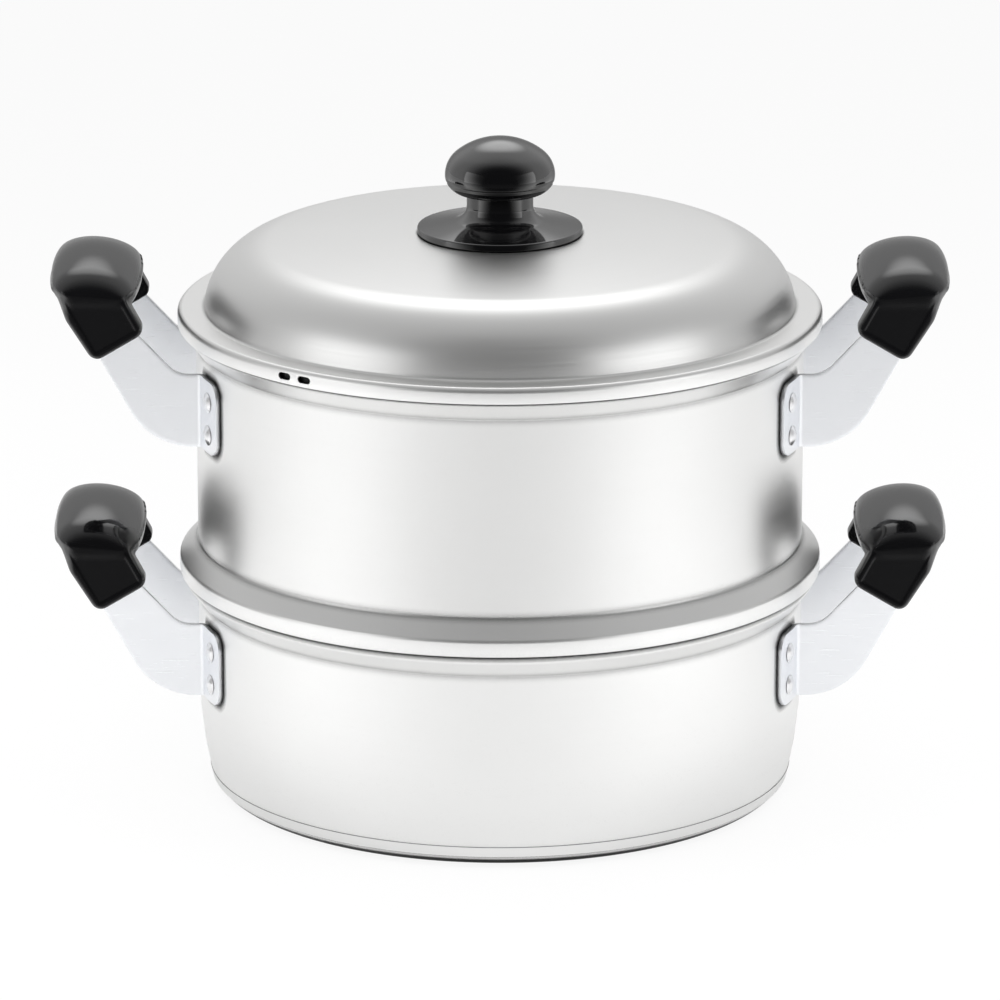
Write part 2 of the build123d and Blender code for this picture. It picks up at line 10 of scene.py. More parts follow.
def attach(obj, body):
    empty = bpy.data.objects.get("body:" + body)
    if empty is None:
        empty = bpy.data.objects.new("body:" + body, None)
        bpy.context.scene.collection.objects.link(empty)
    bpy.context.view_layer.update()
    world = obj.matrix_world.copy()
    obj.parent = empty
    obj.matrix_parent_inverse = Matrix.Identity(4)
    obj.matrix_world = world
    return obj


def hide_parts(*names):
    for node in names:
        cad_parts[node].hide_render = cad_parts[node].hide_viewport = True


bl_info = {
    "name": "Two-tier Steamer Pot",
    "version": (1, 0, 0),
    "blender": (4, 5, 0),
    "location": "View3D > Sidebar > Steamer",
    "description": "Dresses a two-tier aluminium steamer pot with spun sheet and moulded grips",
    "category": "Object",
}

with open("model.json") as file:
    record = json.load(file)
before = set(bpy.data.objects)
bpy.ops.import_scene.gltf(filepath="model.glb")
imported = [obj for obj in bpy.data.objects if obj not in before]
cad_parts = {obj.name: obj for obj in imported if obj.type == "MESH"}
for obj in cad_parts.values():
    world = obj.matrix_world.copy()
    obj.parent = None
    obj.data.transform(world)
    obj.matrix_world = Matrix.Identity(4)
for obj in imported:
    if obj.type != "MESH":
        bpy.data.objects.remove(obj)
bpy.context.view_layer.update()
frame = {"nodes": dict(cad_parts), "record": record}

MM = 0.001
TURN_STEPS = 256
ARC_STEP = radians(6)
ON_AXIS = 1e-7
END_STEPS = 6


# Sizes and colours that a user can change

def length(name, description, default):
    """A length, shown in the scene's units."""
    return FloatProperty(name=name, description=description, default=default, unit="LENGTH")


def tint(name, description, default):
    """A colour, shown as a swatch."""
    return FloatVectorProperty(name=name, description=description, default=default,
                               subtype="COLOR", size=3, min=0, max=1)


class SheetSizes(bpy.types.PropertyGroup):
    """Sizes of the spun aluminium shells."""
    sheet: length("Sheet", "Thickness of the aluminium", 0.8 * MM)
    vessel_r: length("Vessel radius", "Outside of both walls", 131.2 * MM)
    mouth_r: length("Mouth radius", "Outside of the stepped mouths", 137.1 * MM)
    mouth_cone_h: length("Mouth cone", "Height of a mouth's flare", 7.5 * MM)
    mouth_band_h: length("Mouth band", "Height of a mouth's upright band", 5.9 * MM)
    lip_r: length("Lip radius", "Outside of the lid's lip and the tier's skirt", 139.1 * MM)
    pan_crease_z: length("Pan crease", "Height of the crease under the pan's mouth", 87.0 * MM)
    tier_crease_z: length("Tier crease", "Height of the crease under the tier's mouth", 198.7 * MM)
    lid_top_z: length("Dome top", "Height of the lid's dome", 246.6 * MM)


class FinishColours(bpy.types.PropertyGroup):
    """Colours and gloss of the finishes."""
    aluminium: tint("Aluminium", "Satin shells", (0.845, 0.845, 0.838))
    strip: tint("Strip", "Brackets", (0.85, 0.862, 0.885))
    phenolic: tint("Phenolic", "Knob and grips", (0.004, 0.004, 0.0045))
    satin: FloatProperty(
        name="Satin", description="Roughness of the shells", default=0.36, min=0, max=1,
        subtype="FACTOR")
    floor: tint("Floor", "Pale floor", (0.93, 0.93, 0.93))


def sizes():
    """The shells' sizes as they stand in the scene."""
    return bpy.context.scene.steamer_sizes


def colours():
    """The finishes as they stand in the scene."""
    return bpy.context.scene.steamer_colours


# Curves drawn as (radius, height)

def bend(before, corner, after, radius):
    """Round one corner of a path with an arc of the radius."""
    corner = Vector(corner)
    inward = (Vector(before) - corner).normalized()
    outward = (Vector(after) - corner).normalized()
    half = inward.angle(outward) / 2
    reach = radius / tan(half)
    centre = corner + (inward + outward).normalized() * (radius / sin(half))
    first = corner + inward * reach
    last = corner + outward * reach
    return arc_points(centre, first, last)


def arc_points(centre, first, last, step=ARC_STEP):
    """Points along the shorter arc between two points round a centre."""
    start = Vector(first) - Vector(centre)
    sweep = start.angle_signed(Vector(last) - Vector(centre))
    count = max(2, int(abs(sweep) / step) + 1)
    points = []
    for index in range(count + 1):
        turn = Matrix.Rotation(-sweep * index / count, 2)
        points.append(Vector(centre) + turn @ start)
    return points


def bent_path(corners):
    """A path through (radius, height, bend radius) corners."""
    points = [Vector(corners[0][:2])]
    for before, corner, after in zip(corners, corners[1:], corners[2:]):
        if corner[2]:
            points += bend(before[:2], corner[:2], after[:2], corner[2])
        else:
            points.append(Vector(corner[:2]))
    points.append(Vector(corners[-1][:2]))
    return points


def beside(path, distance):
    """The same path moved sideways, to its left for a positive distance."""
    moved = []
    for index, point in enumerate(path):
        before = path[max(index - 1, 0)]
        after = path[min(index + 1, len(path) - 1)]
        along_in = (point - before).normalized() if index else (after - point).normalized()
        along_out = (after - point).normalized() if index < len(path) - 1 else along_in
        normal = Vector((-along_in.y - along_out.y, along_in.x + along_out.x)).normalized()
        lean = Vector((-along_in.y, along_in.x)).dot(normal)
        moved.append(point + normal * distance / max(lean, 0.5))
        if point.x < ON_AXIS:
            moved[-1].x = 0
    return moved


def round_end(first, last, outward):
    """Points of a half circle from one side of a sheet's edge to the other."""
    centre = (first + last) / 2
    start = first - centre
    bulge = outward.normalized() * start.length
    turns = [pi * k / END_STEPS for k in range(1, END_STEPS)]
    return [centre + start * cos(turn) + bulge * sin(turn) for turn in turns]


def sheet_loop(path, thickness):
    """A section from the axis and back: the path, a rounded free end, and the sheet's other side.

    The other side lies to the path's left for a positive thickness.
    """
    other = beside(path, thickness)
    return path + round_end(path[-1], other[-1], path[-1] - path[-2]) + other[::-1]


# Meshes

def mesh_object(name, mesh):
    """Link a mesh to the scene as a new piece."""
    piece = bpy.data.objects.new(name, mesh)
    bpy.context.scene.collection.objects.link(piece)
    return piece


def closed_edit(shell, name):
    """Turn an edited mesh into a plain one, and free the edit."""
    mesh = bpy.data.meshes.new(name)
    shell.to_mesh(mesh)
    shell.free()
    return mesh


def finish_mesh(shell, name, sharp_deg=42):
    """Turn an edited mesh into a smooth shaded one, creased at its real edges."""
    bmesh.ops.recalc_face_normals(shell, faces=shell.faces)
    for edge in shell.edges:
        if len(edge.link_faces) == 2:
            edge.smooth = edge.calc_face_angle() < radians(sharp_deg)
    for face in shell.faces:
        face.smooth = True
    return closed_edit(shell, name)


def turned_mesh(name, loop, steps=TURN_STEPS, closed=False, sharp_deg=42):
    """Turn a section drawn as (radius, height) round the Z axis."""
    shell = bmesh.new()
    rings = []
    for point in loop:
        if abs(point.x) < ON_AXIS:
            rings.append([shell.verts.new((0, 0, point.y))] * steps)
            continue
        ring = []
        for k in range(steps):
            turn = 2 * pi * k / steps
            ring.append(shell.verts.new((point.x * cos(turn), point.x * sin(turn), point.y)))
        rings.append(ring)
    pairs = list(zip(rings, rings[1:]))
    if closed:
        pairs.append((rings[-1], rings[0]))
    for low, high in pairs:
        for k in range(steps):
            corners = [low[k], low[(k + 1) % steps], high[(k + 1) % steps], high[k]]
            face = list(dict.fromkeys(corners))
            if len(face) > 2:
                shell.faces.new(face)
    return finish_mesh(shell, name, sharp_deg)


def turned_piece(name, loop, **settings):
    """Link a new piece turned from its section."""
    return mesh_object(name, turned_mesh(name, loop, **settings))


def skin(shell, rings):
    """Join rings of points with faces and close both ends."""
    made = [[shell.verts.new(point) for point in ring] for ring in rings]
    for low, high in zip(made, made[1:]):
        for k in range(len(low)):
            j = (k + 1) % len(low)
            shell.faces.new((low[k], low[j], high[j], high[k]))
    shell.faces.new(made[0][::-1])
    shell.faces.new(made[-1])


def skinned_object(name, *sections):
    """Link a new object made of one closed skin over each list of rings."""
    shell = bmesh.new()
    for rings in sections:
        skin(shell, rings)
    bmesh.ops.recalc_face_normals(shell, faces=shell.faces)
    return mesh_object(name, closed_edit(shell, name))


def add_modifier(piece, kind, **settings):
    """Put a modifier on a piece and set its properties."""
    step = piece.modifiers.new(kind.lower(), kind)
    for key, value in settings.items():
        setattr(step, key, value)


def apply_modifiers(piece):
    """Replace a piece's mesh by what its modifiers make of it."""
    graph = bpy.context.evaluated_depsgraph_get()
    graph.update()
    mesh = bpy.data.meshes.new_from_object(piece.evaluated_get(graph))
    piece.modifiers.clear()
    piece.data = mesh


def taken_mesh(piece):
    """Take a piece's mesh for copies, smooth shaded, and drop the piece."""
    mesh = piece.data
    bpy.data.objects.remove(piece)
    mesh.shade_smooth()
    return mesh


def dress(piece, node, material):
    """Give a piece its finish, and let it stand for its node on the node's body."""
    piece.data.materials.clear()
    piece.data.materials.append(material)
    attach(piece, body_of(node))
    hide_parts(node)


def body_of(node):
    """The body that a node rides on."""
    groups = frame["record"]["behaviour"]["bodies"]
    return next(body for body, members in groups.items() if node in members)


def keep_node(node, material):
    """Leave a CAD node in view with a better finish."""
    solid = frame["nodes"][node]
    for slot in solid.material_slots:
        slot.material = material
    if not solid.material_slots:
        solid.data.materials.append(material)


# Shader building blocks

# Most of a noise lies between these levels
NOISE_LOW, NOISE_HIGH = 0.3, 0.7


def new_material(name, values):
    """A new node material with its tree and its shader, whose inputs take the values."""
    material = bpy.data.materials.new(name)
    material.use_nodes = True
    shader = material.node_tree.nodes["Principled BSDF"]
    for key, value in values.items():
        shader.inputs[key].default_value = value
    return material, material.node_tree, shader


def add_node(tree, kind, values=None, **settings):
    """Add a node, set its properties and give its inputs constant values."""
    node = tree.nodes.new(kind)
    for key, value in settings.items():
        setattr(node, key, value)
    for key, value in (values or {}).items():
        node.inputs[key].default_value = value
    return node


def link(tree, source, target):
    """Join an output socket to an input socket."""
    tree.links.new(source, target)


def feed(tree, value, target):
    """Give an input a number, or join it to an output socket."""
    if isinstance(value, (int, float)):
        target.default_value = value
    else:
        link(tree, value, target)


def maths(tree, operation, first, second, clamp=False):
    """A Math node whose inputs are sockets or numbers."""
    node = add_node(tree, "ShaderNodeMath", operation=operation, use_clamp=clamp)
    feed(tree, first, node.inputs[0])
    feed(tree, second, node.inputs[1])
    return node.outputs[0]


def object_place(tree):
    """Where a shaded point lies on its own object."""
    return add_node(tree, "ShaderNodeTexCoord").outputs["Object"]


def noise(tree, vector, scale, detail, roughness=0.5):
    """The level of a noise over a vector, whose scale is a number or a socket."""
    node = add_node(tree, "ShaderNodeTexNoise", {"Detail": detail, "Roughness": roughness})
    link(tree, vector, node.inputs["Vector"])
    feed(tree, scale, node.inputs["Scale"])
    return node.outputs["Fac"]


def new_group(name, inputs, outputs):
    """A shader node group with named float sockets, and its entry and exit nodes."""
    group = bpy.data.node_groups.new(name, "ShaderNodeTree")
    for label, default in inputs:
        socket = group.interface.new_socket(
            name=label, in_out="INPUT", socket_type="NodeSocketFloat")
        socket.default_value = default
    for label in outputs:
        group.interface.new_socket(name=label, in_out="OUTPUT", socket_type="NodeSocketFloat")
    entry = group.nodes.new("NodeGroupInput")
    leave = group.nodes.new("NodeGroupOutput")
    return group, entry, leave


def spun_rings_group():
    """Fine rings left by spinning: stripes along the profile, a little uneven round the axis."""
    name = "Spun Rings"
    if name in bpy.data.node_groups:
        return bpy.data.node_groups[name]
    group, entry, leave = new_group(
        name, [("Density", 900.0), ("Unevenness", 6.0)], ["Height", "Cloud"])
    place = object_place(group)
    parts = add_node(group, "ShaderNodeSeparateXYZ")
    link(group, place, parts.inputs[0])
    flat = add_node(group, "ShaderNodeCombineXYZ")
    link(group, parts.outputs["X"], flat.inputs["X"])
    link(group, parts.outputs["Y"], flat.inputs["Y"])
    radius = add_node(group, "ShaderNodeVectorMath", operation="LENGTH")
    link(group, flat.outputs[0], radius.inputs[0])
    around = add_node(group, "ShaderNodeVectorMath", operation="NORMALIZE")
    link(group, flat.outputs[0], around.inputs[0])
    run = maths(group, "ADD", radius.outputs["Value"], parts.outputs["Z"])
    turn = add_node(group, "ShaderNodeSeparateXYZ")
    link(group, around.outputs[0], turn.inputs[0])
    ring = add_node(group, "ShaderNodeCombineXYZ")
    link(group, maths(group, "MULTIPLY", run, entry.outputs["Density"]), ring.inputs["X"])
    link(group, turn.outputs["X"], ring.inputs["Y"])
    link(group, turn.outputs["Y"], ring.inputs["Z"])
    link(group, noise(group, ring.outputs[0], 1.0, 3.0, 0.6), leave.inputs["Height"])
    cloud = noise(group, place, entry.outputs["Unevenness"], 2.0)
    link(group, cloud, leave.inputs["Cloud"])
    return group


def fine_specks_group():
    """Small nicks and dust: a mask of sparse specks and a soft cloud."""
    name = "Fine Specks"
    if name in bpy.data.node_groups:
        return bpy.data.node_groups[name]
    group, entry, leave = new_group(
        name, [("Scale", 900.0), ("Amount", 0.3)], ["Mask", "Cloud"])
    place = object_place(group)
    cells = noise(group, place, entry.outputs["Scale"], 4.0, 0.7)
    edge = maths(group, "SUBTRACT", 0.86, maths(group, "MULTIPLY", entry.outputs["Amount"], 0.35))
    raised = maths(group, "SUBTRACT", cells, edge)
    link(group, maths(group, "MULTIPLY", raised, 12.0, clamp=True), leave.inputs["Mask"])
    link(group, noise(group, place, 30.0, 2.0), leave.inputs["Cloud"])
    return group


def specks_node(tree, scale, amount):
    """Place the specks in a material at their own scale."""
    return add_node(tree, "ShaderNodeGroup", {"Scale": scale, "Amount": amount},
                    node_tree=fine_specks_group())


def remap(tree, source, low, high, from_low, from_high):
    """Stretch a value from one range to another."""
    node = add_node(tree, "ShaderNodeMapRange", {
        "From Min": from_low, "From Max": from_high, "To Min": low, "To Max": high})
    link(tree, source, node.inputs["Value"])
    return node.outputs["Result"]


def from_noise(tree, source, low, high):
    """Stretch a noise's usual levels to a range of values."""
    return remap(tree, source, low, high, NOISE_LOW, NOISE_HIGH)


def ramp(tree, source, stops):
    """A value that follows (place, level) stops smoothly."""
    node = add_node(tree, "ShaderNodeValToRGB")
    node.color_ramp.interpolation = "EASE"
    marks = node.color_ramp.elements
    while len(marks) < len(stops):
        marks.new(0.5)
    for mark, (place, level) in zip(marks, stops):
        mark.position = place
        mark.color = (level, level, level, 1)
    link(tree, source, node.inputs["Fac"])
    return node.outputs["Color"]


def bump(tree, shader, height, distance, strength):
    """Raise a surface by a height, through a Bump node."""
    node = add_node(tree, "ShaderNodeBump", {"Strength": strength, "Distance": distance})
    link(tree, height, node.inputs["Height"])
    link(tree, node.outputs[0], shader.inputs["Normal"])


def tinted(tree, shader, factor, dark, light, gap_shade=None):
    """Vary the base colour between two tones, and paint shade where pieces lie close together.

    Last argument: the painted shade's reach, and how open a place is when black and when bare.
    """
    blend = add_node(tree, "ShaderNodeMix", {"A": (*dark, 1), "B": (*light, 1)},
                     data_type="RGBA")
    link(tree, factor, blend.inputs["Factor"])
    colour = blend.outputs["Result"]
    if gap_shade:
        reach, black, bare = gap_shade
        # painted shade: ambient occlusion darkens the base colour where surfaces close in
        near = add_node(tree, "ShaderNodeAmbientOcclusion", {"Distance": reach}, samples=8)
        shadow = add_node(tree, "ShaderNodeMix", {"Factor": 1.0}, data_type="RGBA",
                          blend_type="MULTIPLY")
        link(tree, colour, shadow.inputs["A"])
        link(tree, remap(tree, near.outputs["AO"], 0.02, 1.0, black, bare), shadow.inputs["B"])
        colour = shadow.outputs["Result"]
    link(tree, colour, shader.inputs["Base Color"])


def shade(colour, share):
    """A colour made lighter or darker by a share."""
    return tuple(min(1.0, part * share) for part in colour)


# Finishes

# Painted shade in gaps and crevices: reach of the darkening, and how open a place is when black
# and when bare
LOOSE_GAP_SHADE = (1.6 * MM, 0.48, 0.84)
DEEP_GAP_SHADE = (4.0 * MM, 0.82, 0.97)
STRIP_TURN = radians(52)  # of the strip's brush lines


def satin_aluminium(name="Satin Aluminium", gap_shade=LOOSE_GAP_SHADE):
    """Anodised spun sheet: soft reflections, faint rings, a slight cloudiness, painted gap shade.
    """
    if name in bpy.data.materials:
        return bpy.data.materials[name]
    material, tree, shader = new_material(name, {"Metallic": 1.0})
    rings = add_node(tree, "ShaderNodeGroup", {"Density": 1400.0, "Unevenness": 9.0},
                     node_tree=spun_rings_group())
    satin = colours().satin
    link(tree, from_noise(tree, rings.outputs["Height"], satin - 0.03, satin + 0.03),
         shader.inputs["Roughness"])
    tone = colours().aluminium
    # the tones, with painted shade in gaps and crevices
    tinted(tree, shader, from_noise(tree, rings.outputs["Cloud"], 0, 1),
           shade(tone, 0.98), shade(tone, 1.01), gap_shade)
    bump(tree, shader, rings.outputs["Height"], 0.00002, 0.35)
    return material


def rolled_strip():
    """Bright rolled strip with long brush lines and a few nicks."""
    name = "Rolled Strip"
    if name in bpy.data.materials:
        return bpy.data.materials[name]
    material, tree, shader = new_material(name, {"Metallic": 1.0})
    stretch = add_node(tree, "ShaderNodeMapping", {
        "Rotation": (0, STRIP_TURN, 0), "Scale": (60.0, 2500.0, 2500.0)})
    link(tree, object_place(tree), stretch.inputs["Vector"])
    lines = noise(tree, stretch.outputs[0], 1.0, 3.0, 0.6)
    specks = specks_node(tree, 420.0, 0.42)
    link(tree, from_noise(tree, lines, 0.26, 0.40), shader.inputs["Roughness"])
    tone = colours().strip
    tinted(tree, shader, specks.outputs["Mask"], tone, shade(tone, 0.55))
    drop = maths(tree, "MULTIPLY", specks.outputs["Mask"], -2.0)
    bump(tree, shader, maths(tree, "ADD", lines, drop), 0.00003, 0.4)
    return material


def black_phenolic(name, gloss, coat_ior):
    """Glossy moulded phenolic with a faint orange peel and a little dust."""
    if name in bpy.data.materials:
        return bpy.data.materials[name]
    material, tree, shader = new_material(name, {
        "Specular IOR Level": 0.07, "Coat Roughness": 0.07, "Coat IOR": coat_ior})
    edge = add_node(tree, "ShaderNodeLayerWeight", {"Blend": 0.5})
    stops = ((0.05, 0.0), (0.3, gloss), (0.55, gloss), (0.84, 0.06 * gloss))
    link(tree, ramp(tree, edge.outputs["Facing"], stops), shader.inputs["Coat Weight"])
    specks = specks_node(tree, 1500.0, 0.12)
    link(tree, from_noise(tree, specks.outputs["Cloud"], 0.15, 0.20), shader.inputs["Roughness"])
    tone = colours().phenolic
    tinted(tree, shader, specks.outputs["Mask"], tone, shade(tone, 2.5))
    bump(tree, shader, noise(tree, object_place(tree), 260.0, 1.0), 0.00004, 0.25)
    return material


def small_metal(name, tone, roughness):
    """A fastener's metal with turning marks and slight tarnish."""
    if name in bpy.data.materials:
        return bpy.data.materials[name]
    material, tree, shader = new_material(name, {"Metallic": 1.0})
    specks = specks_node(tree, 2400.0, 0.35)
    link(tree, from_noise(tree, specks.outputs["Cloud"], roughness - 0.05, roughness + 0.06),
         shader.inputs["Roughness"])
    tinted(tree, shader, specks.outputs["Cloud"], shade(tone, 0.9), tone)
    bump(tree, shader, specks.outputs["Mask"], 0.00002, 0.3)
    return material


def plated_steel():
    """The bright metal of the pot's screws and washer."""
    return small_metal("Plated Steel", (0.72, 0.72, 0.72), 0.25)


# Profiles of the shells, as (radius, height)

SKIRT_FOOT_Z = 97.6 * MM
SKIRT_TOP_Z = 104.6 * MM
WALL_FOOT_Z = 112.4 * MM
SHELF_Z = 101.5 * MM
SHELF_R = 129.2 * MM
LEDGE_Z = 94.2 * MM
LEDGE_R = 119.0 * MM
FOLD_LEAVES = 4  # the point of the fold's path that stands clear of the skirt's outer ply
DOME_CAP_R = 1250 * MM
SHOULDER_R = 31 * MM
FLANK_LEAN = radians(7.0)
LID_FOOT_Z = 208.0 * MM
LID_FLANGE_Z = 214.5 * MM
DOME_FOOT_R = 127.65 * MM
SLOT_Z = 210.9 * MM
SLOT_W = 6.6 * MM
SLOT_H = 3.0 * MM
SLOT_ANGLES = (radians(-130.45), radians(-126.1))


def mouth_corners(s, crease_z):
    """The stepped mouth that both vessels have above their crease."""
    top = crease_z + s.mouth_cone_h
    return [(s.vessel_r, crease_z, 0.9 * MM), (s.mouth_r, top, 2.2 * MM),
            (s.mouth_r, top + s.mouth_band_h, 0)]


def pan_path(s):
    """The pan's outer surface from the middle of its base to its mouth."""
    return bent_path([
        (0, 0, 0),
        (s.vessel_r - 6.6 * MM, 0, 10.5 * MM),
        (s.vessel_r, 28.6 * MM, 196 * MM),
        *mouth_corners(s, s.pan_crease_z),
    ])


def tier_path(s):
    """The tier's outer surface from the foot of its skirt to its mouth."""
    return bent_path([
        (s.lip_r, SKIRT_FOOT_Z + s.sheet, 0),
        (s.lip_r, SKIRT_TOP_Z, 2.4 * MM),
        (s.vessel_r, WALL_FOOT_Z, 2.0 * MM),
        *mouth_corners(s, s.tier_crease_z),
    ])


def shelf_path(s):
    """The folded shelf and ledge inside the tier, from the skirt's foot inwards."""
    return bent_path([
        (s.lip_r - s.sheet, SKIRT_FOOT_Z + s.sheet, 0),
        (s.lip_r - s.sheet, SHELF_Z, 1.6 * MM),
        (SHELF_R, SHELF_Z, 1.6 * MM),
        (SHELF_R, LEDGE_Z, 2.4 * MM),
        (LEDGE_R, LEDGE_Z, 0),
    ])


def dome_points(s):
    """The dome's shoulder and top arcs, from the end of the flank to the middle."""
    inward = Vector((-cos(FLANK_LEAN), -sin(FLANK_LEAN)))
    upward = Vector((-sin(FLANK_LEAN), cos(FLANK_LEAN)))
    cap_centre = Vector((0, s.lid_top_z - DOME_CAP_R))
    start = Vector((DOME_FOOT_R, LID_FLANGE_Z)) + inward * SHOULDER_R
    offset = start - cap_centre
    along = offset.dot(upward)
    climb = sqrt(along ** 2 - offset.dot(offset) + (DOME_CAP_R - SHOULDER_R) ** 2) - along
    centre = start + upward * climb
    outward = (centre - cap_centre).normalized()
    flank_end = centre - inward * SHOULDER_R
    meeting = centre + outward * SHOULDER_R
    shoulder = arc_points(centre, flank_end, meeting, radians(3))
    top = arc_points(cap_centre, meeting, Vector((0, s.lid_top_z)), radians(0.5))
    return shoulder + top[1:]


def lid_path(s):
    """The lid's outer surface from the foot of its lip to the middle of the dome."""
    dome = dome_points(s)
    edge = bent_path([
        (s.lip_r, LID_FOOT_Z, 0),
        (s.lip_r, LID_FLANGE_Z, 2.4 * MM),
        (DOME_FOOT_R, LID_FLANGE_Z, 1.6 * MM),
        (*dome[0], 0),
    ])
    return edge[:-1] + dome


class PanShell(bpy.types.Operator):
    """Spin the lower pan's shell."""
    bl_idname = "steamer.pan_shell"
    bl_label = "Pan Shell"

    def execute(self, context):
        s = sizes()
        piece = turned_piece("pan_shell_spun", sheet_loop(pan_path(s), s.sheet))
        # The vessels' deeper painted shade draws the dark gaps under the lid's lip and the tier's
        # skirt
        dress(piece, "pan_shell", satin_aluminium("Vessel Aluminium", DEEP_GAP_SHADE))
        return {"FINISHED"}


class TierShell(bpy.types.Operator):
    """Spin the tier's shell with its skirt, shelf and ledge."""
    bl_idname = "steamer.tier_shell"
    bl_label = "Tier Shell"

    def execute(self, context):
        s = sizes()
        outer = tier_path(s)
        wall = beside(outer, s.sheet)
        fold = shelf_path(s)
        under = beside(fold, s.sheet)
        rim = round_end(outer[-1], wall[-1], outer[-1] - outer[-2])
        hem = round_end(under[0], outer[0], fold[0] - fold[1])
        lip = round_end(fold[-1], under[-1], fold[-1] - fold[-2])
        loop = outer + rim + wall[:0:-1] + fold[FOLD_LEAVES:] + lip + under[::-1] + hem
        piece = turned_piece("tier_shell_spun", loop, closed=True)
        dress(piece, "tier_shell", satin_aluminium("Vessel Aluminium", DEEP_GAP_SHADE))
        return {"FINISHED"}


class SteamPlate(bpy.types.Operator):
    """Give the perforated plate its satin finish."""
    bl_idname = "steamer.steam_plate"
    bl_label = "Steam Plate"

    def execute(self, context):
        keep_node("steam_plate", satin_aluminium())
        return {"FINISHED"}


class LidShell(bpy.types.Operator):
    """Spin the domed lid and cut its two steam slots."""
    bl_idname = "steamer.lid_shell"
    bl_label = "Lid Shell"

    def execute(self, context):
        s = sizes()
        loop = sheet_loop(lid_path(s)[::-1], -s.sheet)
        piece = turned_piece("lid_shell_spun", loop, steps=360)
        for angle in SLOT_ANGLES:
            cut_slot(piece, angle, s.lip_r)
        merge_slivers(piece)
        dress(piece, "lid_shell", satin_aluminium())
        return {"FINISHED"}


def cut_slot(piece, angle, lip_r):
    """Cut one steam slot through the lid's lip."""
    steps = 8
    half = (SLOT_W - SLOT_H) / 2
    outline = []
    for centre, start in ((half, -pi / 2), (-half, pi / 2)):
        for k in range(steps + 1):
            turn = start + pi * k / steps
            outline.append((centre + SLOT_H / 2 * cos(turn), SLOT_H / 2 * sin(turn)))
    tool = skinned_object("slot_cutter", [
        [(lip_r + depth, y, SLOT_Z + z) for y, z in outline] for depth in (-5 * MM, 5 * MM)])
    tool.data.transform(Matrix.Rotation(angle, 4, "Z"))
    add_modifier(piece, "BOOLEAN", operation="DIFFERENCE", solver="EXACT", object=tool)
    apply_modifiers(piece)
    bpy.data.objects.remove(tool)


def merge_slivers(piece):
    """Clear the faces without area that a cut leaves."""
    clean = bmesh.new()
    clean.from_mesh(piece.data)
    bmesh.ops.remove_doubles(clean, verts=clean.verts, dist=0.01 * MM)
    bmesh.ops.dissolve_degenerate(clean, dist=0.002 * MM, edges=clean.edges)
    clean.to_mesh(piece.data)
    clean.free()


# Knob

KNOB_GAP = 0.15 * MM
KNOB_SINK = 3.0 * MM


def knob_loop(lid_top):
    """The knob's section, from the middle of its underside round to the top of its cap."""
    skirt_r = 35.6 * MM
    hollow_r = 32.4 * MM
    boss_r = 9.0 * MM
    foot = lid_top - DOME_CAP_R + sqrt(DOME_CAP_R ** 2 - skirt_r ** 2) + KNOB_GAP
    hollow_top = foot + 2.6 * MM
    edge_top = foot + 3.0 * MM
    slope_top = edge_top + 3.4 * MM
    mid_z = 271.7 * MM
    cap_r = 23.7 * MM
    drop = 7.8 * MM
    rise = 16.4 * MM
    side_r = 12.5 * MM
    neck_r = 14.3 * MM
    under = mid_z - drop
    lower = bent_path([
        (boss_r, hollow_top, 0),
        (hollow_r, hollow_top, 1.0 * MM),
        (hollow_r, foot, 0.6 * MM),
        (skirt_r, foot, 0.6 * MM),
        (skirt_r, edge_top, 1.0 * MM),
        (neck_r, slope_top, 7.0 * MM),
        (neck_r, under, 1.0 * MM),
        (cap_r - drop, under, 0),
    ])
    belly = arc_points(Vector((cap_r - drop, mid_z)), Vector((cap_r - drop, under)),
                       Vector((cap_r, mid_z)))
    # a fine groove where the mould's halves met
    seam = next(k for k, point in enumerate(belly) if point.y > mid_z - 3.0 * MM)
    belly[seam] -= Vector((0.4 * MM, 0))
    side_x = cap_r - side_r
    top_r = (side_x ** 2 + rise ** 2 - side_r ** 2) / (2 * (rise - side_r))
    side_centre = Vector((side_x, mid_z))
    top_centre = Vector((0, mid_z + rise - top_r))
    meeting = side_centre + (side_centre - top_centre).normalized() * side_r
    side = arc_points(side_centre, Vector((cap_r, mid_z)), meeting)
    top = arc_points(top_centre, meeting, Vector((0, mid_z + rise)), radians(4))
    boss_foot = lid_top + KNOB_GAP
    pocket_r = 4.25 * MM
    pocket_top = boss_foot + 13.2 * MM
    boss = [Vector((0, pocket_top)), Vector((pocket_r, pocket_top)),
            Vector((pocket_r, boss_foot)), Vector((boss_r, boss_foot))]
    return boss + lower + belly[1:] + side[1:] + top[1:]


class Knob(bpy.types.Operator):
    """Turn the moulded knob and finish its insert, screw and washer."""
    bl_idname = "steamer.knob"
    bl_label = "Knob"

    def execute(self, context):
        piece = turned_piece(
            "lid_knob_moulded", knob_loop(sizes().lid_top_z), steps=160, sharp_deg=60)
        dress(piece, "lid_knob", black_phenolic("Knob Phenolic", 1.0, 2.3))
        lowered_copy("knob_insert", small_metal("Turned Brass", (0.72, 0.52, 0.22), 0.3))
        lowered_copy("knob_screw", plated_steel())
        lowered_copy("knob_washer", plated_steel())
        return {"FINISHED"}


def lowered_copy(node, material):
    """Stand in for a fastener, as far below it as this dome's middle is below the solid's."""
    solid = frame["nodes"][node]
    mesh = solid.data.copy()
    mesh.transform(solid.matrix_world)
    mesh.transform(Matrix.Translation((0, 0, -KNOB_SINK)))
    dress(mesh_object(f"{node}_lowered", mesh), node, material)


# Handles, drawn on the +X side with height 0 at the top edge of the tabs

SIDES = (("right", 0.0), ("left", pi))
STRAP_T = 2.0 * MM
WALL_FIT = 0.05 * MM

# Tabs: how far their top is under the crease, height, end, corners and the crook to the arms
TAB_DROP = 6.3 * MM
TAB_H = 32.0 * MM
TAB_END = radians(24.8)
TAB_CORNER_R = 7.0 * MM
CROOK_REACH = 2.2 * MM
CROOK_R = 2.0 * MM

